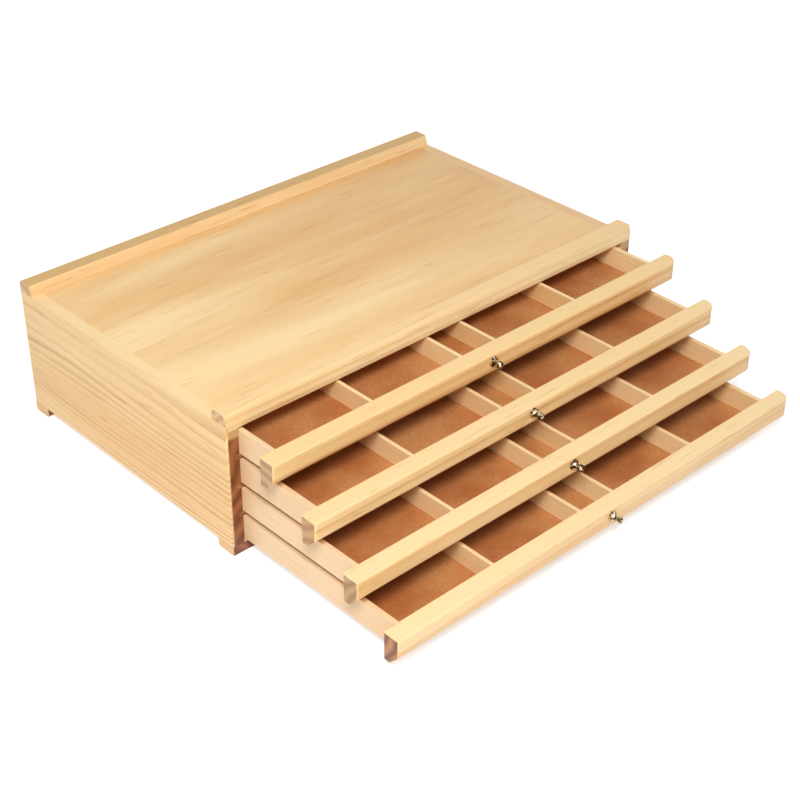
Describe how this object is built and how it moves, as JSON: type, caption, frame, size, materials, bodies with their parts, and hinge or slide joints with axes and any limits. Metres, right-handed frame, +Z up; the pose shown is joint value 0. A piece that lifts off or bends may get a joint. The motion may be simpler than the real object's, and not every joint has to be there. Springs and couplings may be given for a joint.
{
  "type": "drawer box",
  "caption": "Low open-fronted pine box with shallow divided drawers drawn out in steps, small ball knobs, block feet and rails along the front and back of its top.",
  "frame": {"origin": "middle of the underside of the box that just holds the part with its drawers drawn out as stored, level with the soles of the feet", "axes": "+X to the right as seen from the front, +Y towards the back of the case, so the drawers open along -Y, +Z up"},
  "size_m": [0.4032, 0.4178, 0.113],
  "materials": {
    "case_pine": "clear lacquered pine",
    "board_pine": "clear lacquered pine",
    "drawer_pine": "clear lacquered pine",
    "runner_wood": "plain planed strip",
    "tray_wood": "brown hardboard",
    "knob_metal": "polished nickel plate",
    "screw_steel": "zinc plated"
  },
  "bodies": {
    "case": {"side_panel_left": "case_pine", "side_panel_right": "case_pine", "runners_left": "runner_wood", "runners_right": "runner_wood", "top_board": "board_pine", "bottom_board": "case_pine", "back_panel": "case_pine", "front_rail": "case_pine", "back_rail": "case_pine", "foot_front_left": "case_pine", "foot_front_right": "case_pine", "foot_back_left": "case_pine", "foot_back_right": "case_pine"},
    "drawer_1": {"front_1": "drawer_pine", "side_left_1": "drawer_pine", "side_right_1": "drawer_pine", "back_1": "drawer_pine", "tray_1": "tray_wood", "divider_1_1": "drawer_pine", "divider_1_2": "drawer_pine", "divider_1_3": "drawer_pine", "divider_1_4": "drawer_pine", "knob_1": "knob_metal", "knob_screw_1": "screw_steel"},
    "drawer_2": {"front_2": "drawer_pine", "side_left_2": "drawer_pine", "side_right_2": "drawer_pine", "back_2": "drawer_pine", "tray_2": "tray_wood", "divider_2_1": "drawer_pine", "divider_2_2": "drawer_pine", "divider_2_3": "drawer_pine", "divider_2_4": "drawer_pine", "knob_2": "knob_metal", "knob_screw_2": "screw_steel"},
    "drawer_3": {"front_3": "drawer_pine", "side_left_3": "drawer_pine", "side_right_3": "drawer_pine", "back_3": "drawer_pine", "tray_3": "tray_wood", "divider_3_1": "drawer_pine", "divider_3_2": "drawer_pine", "divider_3_3": "drawer_pine", "divider_3_4": "drawer_pine", "knob_3": "knob_metal", "knob_screw_3": "screw_steel"},
    "drawer_4": {"front_4": "drawer_pine", "side_left_4": "drawer_pine", "side_right_4": "drawer_pine", "back_4": "drawer_pine", "tray_4": "tray_wood", "divider_4_1": "drawer_pine", "divider_4_2": "drawer_pine", "divider_4_3": "drawer_pine", "divider_4_4": "drawer_pine", "knob_4": "knob_metal", "knob_screw_4": "screw_steel"}
  },
  "joints": [
    {"name": "drawer_1_slide", "type": "slide", "parent": "case", "child": "drawer_1", "axis": [0, -1, 0], "range_m": [-0.0325, 0.132]},
    {"name": "drawer_2_slide", "type": "slide", "parent": "case", "child": "drawer_2", "axis": [0, -1, 0], "range_m": [-0.0725, 0.092]},
    {"name": "drawer_3_slide", "type": "slide", "parent": "case", "child": "drawer_3", "axis": [0, -1, 0], "range_m": [-0.1115, 0.053]},
    {"name": "drawer_4_slide", "type": "slide", "parent": "case", "child": "drawer_4", "axis": [0, -1, 0], "range_m": [-0.1485, 0.016]}
  ]
}
